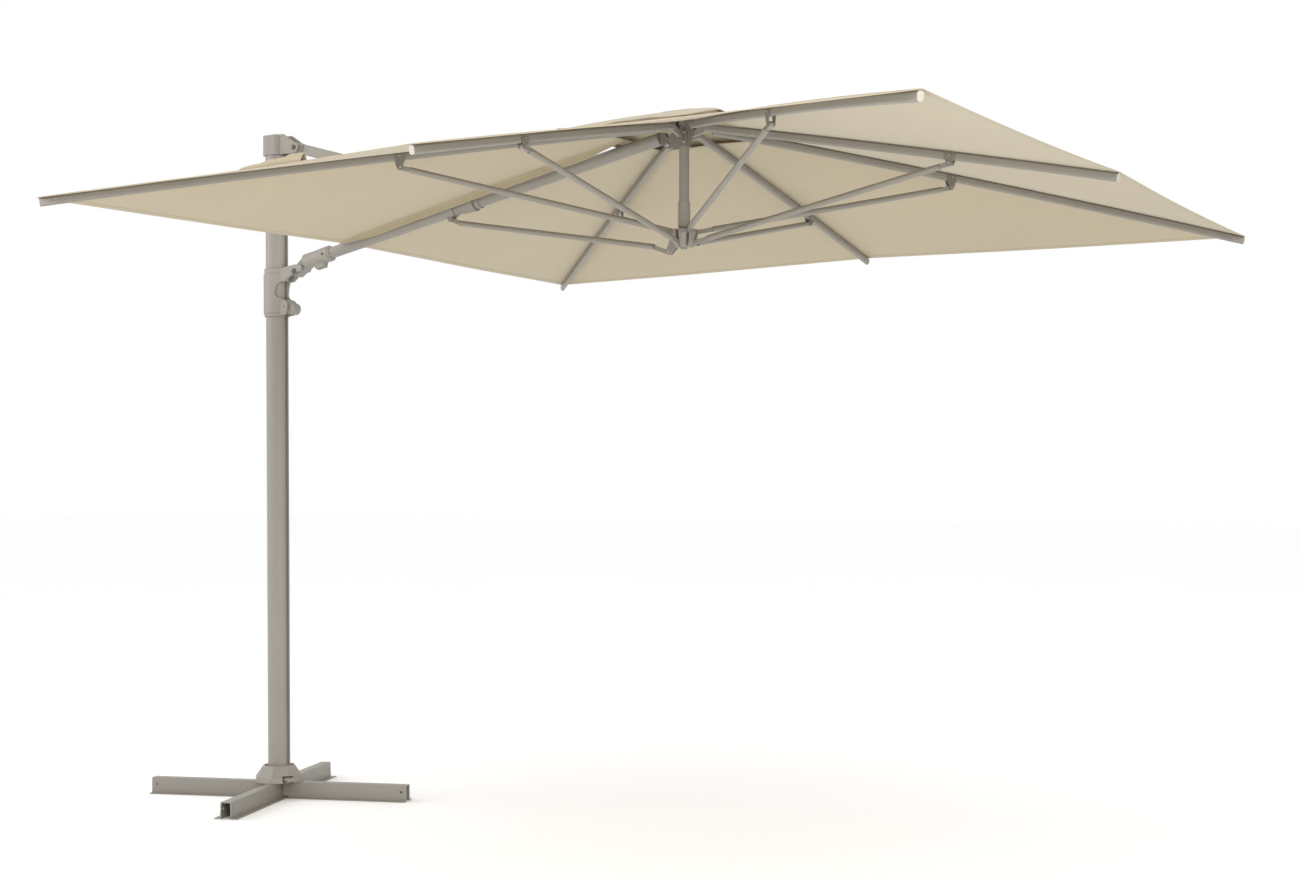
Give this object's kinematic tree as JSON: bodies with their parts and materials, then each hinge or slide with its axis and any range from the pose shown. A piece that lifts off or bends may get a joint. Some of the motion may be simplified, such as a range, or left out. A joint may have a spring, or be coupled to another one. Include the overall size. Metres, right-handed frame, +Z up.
{
  "type": "cantilever parasol",
  "caption": "Square side-post parasol: a mast on a low cross base, an arm on a sliding handle and an upper link, ribs, struts, runner and split fabric canopy.",
  "frame": {"origin": "on the mast's axis, level with the underside of the base rails", "axes": "+Z up along the mast, +X from the mast towards the canopy, +Y to the left of someone standing at the mast and facing the canopy"},
  "size_m": [3.8857, 3.016, 2.619],
  "materials": {
    "frame_tube": "greige powder coat, satin",
    "base_steel": "greige powder coat, satin",
    "fittings": "greige moulded nylon, fine grain",
    "bearing_plastic": "natural acetal",
    "fasteners": "zinc plated",
    "canopy_fabric": "woven sand polyester"
  },
  "bodies": {
    "base": {"base_rail_long": "base_steel", "base_rail_left": "base_steel", "base_rail_right": "base_steel", "base_spigot": "base_steel", "base_bolts": "fasteners", "swivel_bearings": "bearing_plastic", "base_cover": "fittings", "pedal_bracket": "base_steel"},
    "pedal": {"rotation_pedal": "fittings"},
    "mast": {"mast_tube": "frame_tube", "mast_track": "frame_tube", "mast_foot": "fittings", "mast_head": "fittings", "head_pivot_bolt": "fasteners"},
    "link": {"upper_link": "frame_tube", "link_head_eye": "fittings", "link_ring_eye": "fittings"},
    "arm_frame": {"arm_casing": "fittings", "arm_ring": "fittings", "arm_frame_bolts": "fasteners"},
    "trigger": {"tilt_trigger": "fittings"},
    "slider": {"slider_housing": "fittings", "slider_back_plate": "fittings", "slider_bolts": "fasteners"},
    "lever": {"slider_release_lever": "fittings"},
    "arm": {"arm_tube": "frame_tube", "arm_collars": "fittings", "arm_end_fitting": "fittings", "arm_strut_bracket": "fittings", "canopy_panel_arm": "canopy_fabric"},
    "pole": {"canopy_pole": "frame_tube", "pole_sleeve": "frame_tube", "top_hub": "fittings", "arm_clevis": "base_steel", "hub_bolts": "fasteners", "vent_cap": "canopy_fabric"},
    "strut_arm": {"strut_arm": "frame_tube"},
    "runner": {"runner": "fittings", "runner_pins": "fasteners"},
    "rib_outer_left": {"rib_outer_left": "frame_tube", "canopy_panel_outer_left": "canopy_fabric"},
    "strut_outer_left": {"strut_outer_left": "frame_tube"},
    "rib_inner_left": {"rib_inner_left": "frame_tube", "canopy_panel_inner_left": "canopy_fabric"},
    "strut_inner_left": {"strut_inner_left": "frame_tube"},
    "rib_inner_right": {"rib_inner_right": "frame_tube", "canopy_panel_inner_right": "canopy_fabric"},
    "strut_inner_right": {"strut_inner_right": "frame_tube"},
    "rib_outer_right": {"rib_outer_right": "frame_tube", "canopy_panel_outer_right": "canopy_fabric"},
    "strut_outer_right": {"strut_outer_right": "frame_tube"},
    "rib_outer": {"rib_outer": "frame_tube", "canopy_panel_outer": "canopy_fabric"},
    "strut_outer": {"strut_outer": "frame_tube"},
    "rib_left": {"rib_left": "frame_tube", "canopy_panel_left": "canopy_fabric"},
    "strut_left": {"strut_left": "frame_tube"},
    "rib_right": {"rib_right": "frame_tube", "canopy_panel_right": "canopy_fabric"},
    "strut_right": {"strut_right": "frame_tube"}
  },
  "joints": [
    {"name": "mast_turn", "type": "hinge", "parent": "base", "child": "mast", "pos_m": [0, 0, 0.1], "axis": [0, 0, 1], "continuous": true},
    {"name": "pedal_press", "type": "hinge", "parent": "base", "child": "pedal", "pos_m": [0.05619, -0.0262, 0.08], "axis": [0.4226, 0.9063, 0], "range_deg": [0, 10], "stiffness_Nm_per_rad": 3, "springref_deg": -8.59},
    {"name": "fold", "type": "hinge", "parent": "mast", "child": "link", "pos_m": [0.115, 0, 2.562], "axis": [0, 1, 0], "range_deg": [0, 68]},
    {"name": "arm_swing", "type": "hinge", "parent": "link", "child": "arm_frame", "pos_m": [0.95772, 0, 2.32077], "axis": [0, 1, 0], "range_deg": [-136, 0]},
    {"name": "slider_hinge", "type": "hinge", "parent": "arm_frame", "child": "slider", "pos_m": [0.115, 0, 2.07955], "axis": [0, 1, 0], "range_deg": [0, 68]},
    {"name": "lever_squeeze", "type": "hinge", "parent": "slider", "child": "lever", "pos_m": [0.064, 0, 1.944], "axis": [0, 1, 0], "range_deg": [-6, 0], "stiffness_Nm_per_rad": 2, "springref_deg": 11.46},
    {"name": "trigger_pull", "type": "hinge", "parent": "arm_frame", "child": "trigger", "pos_m": [0.21643, 0, 2.08923], "axis": [0, 1, 0], "range_deg": [-6, 0], "stiffness_Nm_per_rad": 0.6, "springref_deg": 11.46},
    {"name": "side_tilt", "type": "hinge", "parent": "arm_frame", "child": "arm", "pos_m": [0, 0, 2.086], "axis": [0.9813, 0, 0.1925], "range_deg": [-15, 15]},
    {"name": "pole_hinge", "type": "hinge", "parent": "arm", "child": "pole", "pos_m": [1.802, 0, 2.408], "axis": [0, 1, 0], "range_deg": [0, 68], "deforming": ["canopy_panel_arm", "vent_cap"]},
    {"name": "arm_strut_hinge", "type": "hinge", "parent": "arm", "child": "strut_arm", "pos_m": [0.867, 0, 2.224], "axis": [0, -1, 0], "range_deg": [-136, 0]},
    {"name": "rib_hinge_outer_left", "type": "hinge", "parent": "pole", "child": "rib_outer_left", "pos_m": [1.88828, 0.02828, 2.474], "axis": [-0.7071, 0.7071, 0], "range_deg": [0, 68], "deforming": ["canopy_panel_outer_left"]},
    {"name": "strut_hinge_outer_left", "type": "hinge", "parent": "rib_outer_left", "child": "strut_outer_left", "pos_m": [2.54943, 0.68943, 2.29], "axis": [-0.7071, 0.7071, 0], "range_deg": [-136, 0]},
    {"name": "rib_hinge_inner_left", "type": "hinge", "parent": "pole", "child": "rib_inner_left", "pos_m": [1.83172, 0.02828, 2.474], "axis": [-0.7071, -0.7071, 0], "range_deg": [0, 68], "deforming": ["canopy_panel_inner_left"]},
    {"name": "strut_hinge_inner_left", "type": "hinge", "parent": "rib_inner_left", "child": "strut_inner_left", "pos_m": [1.17057, 0.68943, 2.29], "axis": [-0.7071, -0.7071, 0], "range_deg": [-136, 0]},
    {"name": "rib_hinge_inner_right", "type": "hinge", "parent": "pole", "child": "rib_inner_right", "pos_m": [1.83172, -0.02828, 2.474], "axis": [0.7071, -0.7071, 0], "range_deg": [0, 68], "deforming": ["canopy_panel_inner_right"]},
    {"name": "strut_hinge_inner_right", "type": "hinge", "parent": "rib_inner_right", "child": "strut_inner_right", "pos_m": [1.17057, -0.68943, 2.29], "axis": [0.7071, -0.7071, 0], "range_deg": [-136, 0]},
    {"name": "rib_hinge_outer_right", "type": "hinge", "parent": "pole", "child": "rib_outer_right", "pos_m": [1.88828, -0.02828, 2.474], "axis": [0.7071, 0.7071, 0], "range_deg": [0, 68], "deforming": ["canopy_panel_outer_right"]},
    {"name": "strut_hinge_outer_right", "type": "hinge", "parent": "rib_outer_right", "child": "strut_outer_right", "pos_m": [2.54943, -0.68943, 2.29], "axis": [0.7071, 0.7071, 0], "range_deg": [-136, 0]},
    {"name": "rib_hinge_outer", "type": "hinge", "parent": "pole", "child": "rib_outer", "pos_m": [1.892, 0, 2.434], "axis": [0, 1, 0], "range_deg": [0, 68], "deforming": ["canopy_panel_outer"]},
    {"name": "strut_hinge_outer", "type": "hinge", "parent": "rib_outer", "child": "strut_outer", "pos_m": [2.827, 0, 2.25], "axis": [0, 1, 0], "range_deg": [-136, 0]},
    {"name": "rib_hinge_left", "type": "hinge", "parent": "pole", "child": "rib_left", "pos_m": [1.86, 0.032, 2.434], "axis": [-1, 0, 0], "range_deg": [0, 68], "deforming": ["canopy_panel_left"]},
    {"name": "strut_hinge_left", "type": "hinge", "parent": "rib_left", "child": "strut_left", "pos_m": [1.86, 0.967, 2.25], "axis": [-1, 0, 0], "range_deg": [-136, 0]},
    {"name": "rib_hinge_right", "type": "hinge", "parent": "pole", "child": "rib_right", "pos_m": [1.86, -0.032, 2.434], "axis": [1, 0, 0], "range_deg": [0, 68], "deforming": ["canopy_panel_right"]},
    {"name": "strut_hinge_right", "type": "hinge", "parent": "rib_right", "child": "strut_right", "pos_m": [1.86, -0.967, 2.25], "axis": [1, 0, 0], "range_deg": [-136, 0]},
    {"name": "runner_hinge", "type": "hinge", "parent": "strut_outer", "child": "runner", "pos_m": [1.892, 0, 2.066], "axis": [0, 1, 0], "range_deg": [0, 68]}
  ],
  "couplings": [
    {"joint": "arm_swing", "follows": "fold", "ratio": -2},
    {"joint": "slider_hinge", "follows": "fold", "ratio": 1},
    {"joint": "pole_hinge", "follows": "fold", "ratio": 1},
    {"joint": "arm_strut_hinge", "follows": "fold", "ratio": -2},
    {"joint": "rib_hinge_outer_left", "follows": "fold", "ratio": 1},
    {"joint": "strut_hinge_outer_left", "follows": "fold", "ratio": -2},
    {"joint": "rib_hinge_inner_left", "follows": "fold", "ratio": 1},
    {"joint": "strut_hinge_inner_left", "follows": "fold", "ratio": -2},
    {"joint": "rib_hinge_inner_right", "follows": "fold", "ratio": 1},
    {"joint": "strut_hinge_inner_right", "follows": "fold", "ratio": -2},
    {"joint": "rib_hinge_outer_right", "follows": "fold", "ratio": 1},
    {"joint": "strut_hinge_outer_right", "follows": "fold", "ratio": -2},
    {"joint": "rib_hinge_outer", "follows": "fold", "ratio": 1},
    {"joint": "strut_hinge_outer", "follows": "fold", "ratio": -2},
    {"joint": "rib_hinge_left", "follows": "fold", "ratio": 1},
    {"joint": "strut_hinge_left", "follows": "fold", "ratio": -2},
    {"joint": "rib_hinge_right", "follows": "fold", "ratio": 1},
    {"joint": "strut_hinge_right", "follows": "fold", "ratio": -2},
    {"joint": "runner_hinge", "follows": "fold", "ratio": 1}
  ]
}
